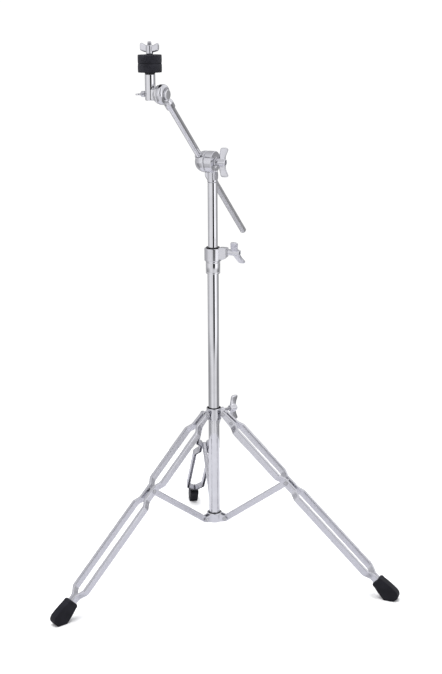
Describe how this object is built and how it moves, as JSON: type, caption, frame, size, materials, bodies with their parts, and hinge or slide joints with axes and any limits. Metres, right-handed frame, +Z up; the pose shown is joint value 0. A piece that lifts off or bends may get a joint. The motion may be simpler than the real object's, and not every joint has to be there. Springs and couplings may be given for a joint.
{
  "type": "cymbal boom stand",
  "caption": "Folding double-braced tripod stand with a telescoping tube and a tilting, sliding boom arm that holds a cymbal between felts on a ratchet tilter.",
  "frame": {"origin": "on the floor, under the middle of the whole stand's box; the tube stands 94 mm in front of it", "axes": "+Z up along the tube, +Y towards the rear leg, +X to the right seen from the front"},
  "size_m": [0.6788, 0.5912, 1.0771],
  "materials": {
    "chrome": "polished chrome plate",
    "bare_steel": "zinc-plated steel",
    "black_rubber": "moulded matt rubber",
    "black_nylon": "moulded nylon",
    "black_felt": "pressed wool felt"
  },
  "bodies": {
    "base": {"base_tube": "chrome", "bottom_plug": "black_nylon", "joint_ferrule": "chrome", "lower_collar": "chrome", "lower_collar_bush": "black_nylon", "lower_rivet_right": "bare_steel", "lower_rivet_left": "bare_steel", "lower_rivet_rear": "bare_steel", "tube_joint": "chrome", "joint_eye_bolt": "bare_steel", "joint_washer": "chrome"},
    "stay_right": {"stay_right": "chrome"},
    "stay_left": {"stay_left": "chrome"},
    "stay_rear": {"stay_rear": "chrome"},
    "leg_right": {"leg_strip_right_a": "chrome", "leg_strip_right_b": "chrome", "foot_right": "black_rubber", "top_rivet_right": "bare_steel", "pinch_rivet_right": "bare_steel", "mid_rivet_right": "bare_steel"},
    "leg_left": {"leg_strip_left_a": "chrome", "leg_strip_left_b": "chrome", "foot_left": "black_rubber", "top_rivet_left": "bare_steel", "pinch_rivet_left": "bare_steel", "mid_rivet_left": "bare_steel"},
    "leg_rear": {"leg_strip_rear_a": "chrome", "leg_strip_rear_b": "chrome", "foot_rear": "black_rubber", "top_rivet_rear": "bare_steel", "pinch_rivet_rear": "bare_steel", "mid_rivet_rear": "bare_steel"},
    "upper_collar": {"upper_collar": "chrome", "upper_collar_bush": "black_nylon", "collar_pressure_pad": "black_nylon"},
    "collar_wing_screw": {"collar_screw": "bare_steel", "collar_wing": "chrome"},
    "joint_bush": {"joint_bush": "black_nylon"},
    "joint_wing_nut": {"joint_wing_nut": "chrome"},
    "upper_tube": {"upper_tube": "chrome", "upper_tube_guide": "black_nylon", "boom_bracket": "chrome"},
    "boom_holder": {"boom_holder": "chrome", "boom_eye_bolt": "bare_steel", "boom_clamp_spring": "bare_steel", "boom_clamp_washer": "chrome"},
    "boom_wing_nut": {"boom_wing_nut": "chrome"},
    "boom_arm": {"boom_arm": "chrome", "boom_end_plug": "bare_steel", "tilter_boom_half": "chrome", "tilter_bolt": "chrome", "tilter_spring": "bare_steel"},
    "tilter": {"tilter_stem": "chrome", "cymbal_rod": "bare_steel", "cymbal_seat": "black_nylon", "cymbal_sleeve": "black_nylon", "lower_felt": "black_felt"},
    "tilter_wing_nut": {"tilter_wing_nut": "chrome"},
    "upper_felt": {"upper_felt": "black_felt"},
    "cymbal_wing_nut": {"cymbal_wing_nut": "chrome"}
  },
  "joints": [
    {"name": "stay_rear_fold", "type": "hinge", "parent": "base", "child": "stay_rear", "pos_m": [0, -0.06963, 0.1188], "axis": [1, 0, 0], "range_deg": [0, 47.1]},
    {"name": "stay_right_fold", "type": "hinge", "parent": "base", "child": "stay_right", "pos_m": [0.02122, -0.10638, 0.1188], "axis": [-0.5, -0.866, 0], "range_deg": [0, 47.6]},
    {"name": "stay_left_fold", "type": "hinge", "parent": "base", "child": "stay_left", "pos_m": [-0.02122, -0.10638, 0.1188], "axis": [-0.5, 0.866, 0], "range_deg": [0, 47.6]},
    {"name": "leg_rear_fold", "type": "hinge", "parent": "stay_rear", "child": "leg_rear", "pos_m": [0, 0.06357, 0.2178], "axis": [1, 0, 0], "range_deg": [-87.4, 0]},
    {"name": "leg_right_fold", "type": "hinge", "parent": "stay_right", "child": "leg_right", "pos_m": [0.13657, -0.17298, 0.2178], "axis": [-0.5, -0.866, 0], "range_deg": [-87.4, 0]},
    {"name": "leg_left_fold", "type": "hinge", "parent": "stay_left", "child": "leg_left", "pos_m": [-0.13657, -0.17298, 0.2178], "axis": [-0.5, 0.866, 0], "range_deg": [-87.4, 0]},
    {"name": "collar_upright", "type": "hinge", "parent": "leg_rear", "child": "upper_collar", "pos_m": [0, -0.07163, 0.3462], "axis": [1, 0, 0], "range_deg": [0, 40.3]},
    {"name": "collar_wing_turn", "type": "hinge", "parent": "upper_collar", "child": "collar_wing_screw", "pos_m": [0.03897, -0.07163, 0.345], "axis": [0.866, 0.5, 0], "continuous": true},
    {"name": "tube_swivel", "type": "hinge", "parent": "base", "child": "joint_bush", "pos_m": [0, -0.09413, 0.676], "axis": [0, 0, 1], "continuous": true},
    {"name": "tube_height", "type": "slide", "parent": "joint_bush", "child": "upper_tube", "axis": [0, 0, 1], "range_m": [-0.12, 0.25]},
    {"name": "joint_wing_turn", "type": "hinge", "parent": "base", "child": "joint_wing_nut", "pos_m": [0.03849, -0.11744, 0.677], "axis": [0.8554, -0.518, 0], "continuous": true},
    {"name": "boom_tilt", "type": "hinge", "parent": "upper_tube", "child": "boom_holder", "pos_m": [0, -0.09413, 0.85], "axis": [-0.8171, 0.5764, 0], "range_deg": [-45, 30]},
    {"name": "boom_slide", "type": "slide", "parent": "boom_holder", "child": "boom_arm", "axis": [-0.425, -0.6025, 0.6756], "range_m": [-0.14, 0.2]},
    {"name": "boom_wing_turn", "type": "hinge", "parent": "boom_holder", "child": "boom_wing_nut", "pos_m": [0, -0.09413, 0.85], "axis": [0.8171, -0.5764, 0], "continuous": true},
    {"name": "tilter_tilt", "type": "hinge", "parent": "boom_arm", "child": "tilter", "pos_m": [-0.10216, -0.20251, 0.98512], "axis": [-0.8171, 0.5764, 0], "range_deg": [-90, 60]},
    {"name": "tilter_wing_turn", "type": "hinge", "parent": "boom_arm", "child": "tilter_wing_nut", "pos_m": [-0.10216, -0.20251, 0.98512], "axis": [-0.8171, 0.5764, 0], "continuous": true},
    {"name": "felt_lift", "type": "slide", "parent": "tilter", "child": "upper_felt", "axis": [0, 0, 1], "range_m": [0, 0.06]},
    {"name": "cymbal_wing_turn", "type": "hinge", "parent": "upper_felt", "child": "cymbal_wing_nut", "pos_m": [-0.12422, -0.18695, 0.98512], "axis": [0, 0, 1], "continuous": true}
  ],
  "couplings": [
    {"joint": "stay_right_fold", "follows": "stay_rear_fold", "ratio": 1},
    {"joint": "stay_left_fold", "follows": "stay_rear_fold", "ratio": 1},
    {"joint": "leg_rear_fold", "follows": "stay_rear_fold", "ratio": -1.846},
    {"joint": "leg_right_fold", "follows": "stay_rear_fold", "ratio": -1.846},
    {"joint": "leg_left_fold", "follows": "stay_rear_fold", "ratio": -1.846},
    {"joint": "collar_upright", "follows": "stay_rear_fold", "ratio": 0.84602}
  ]
}
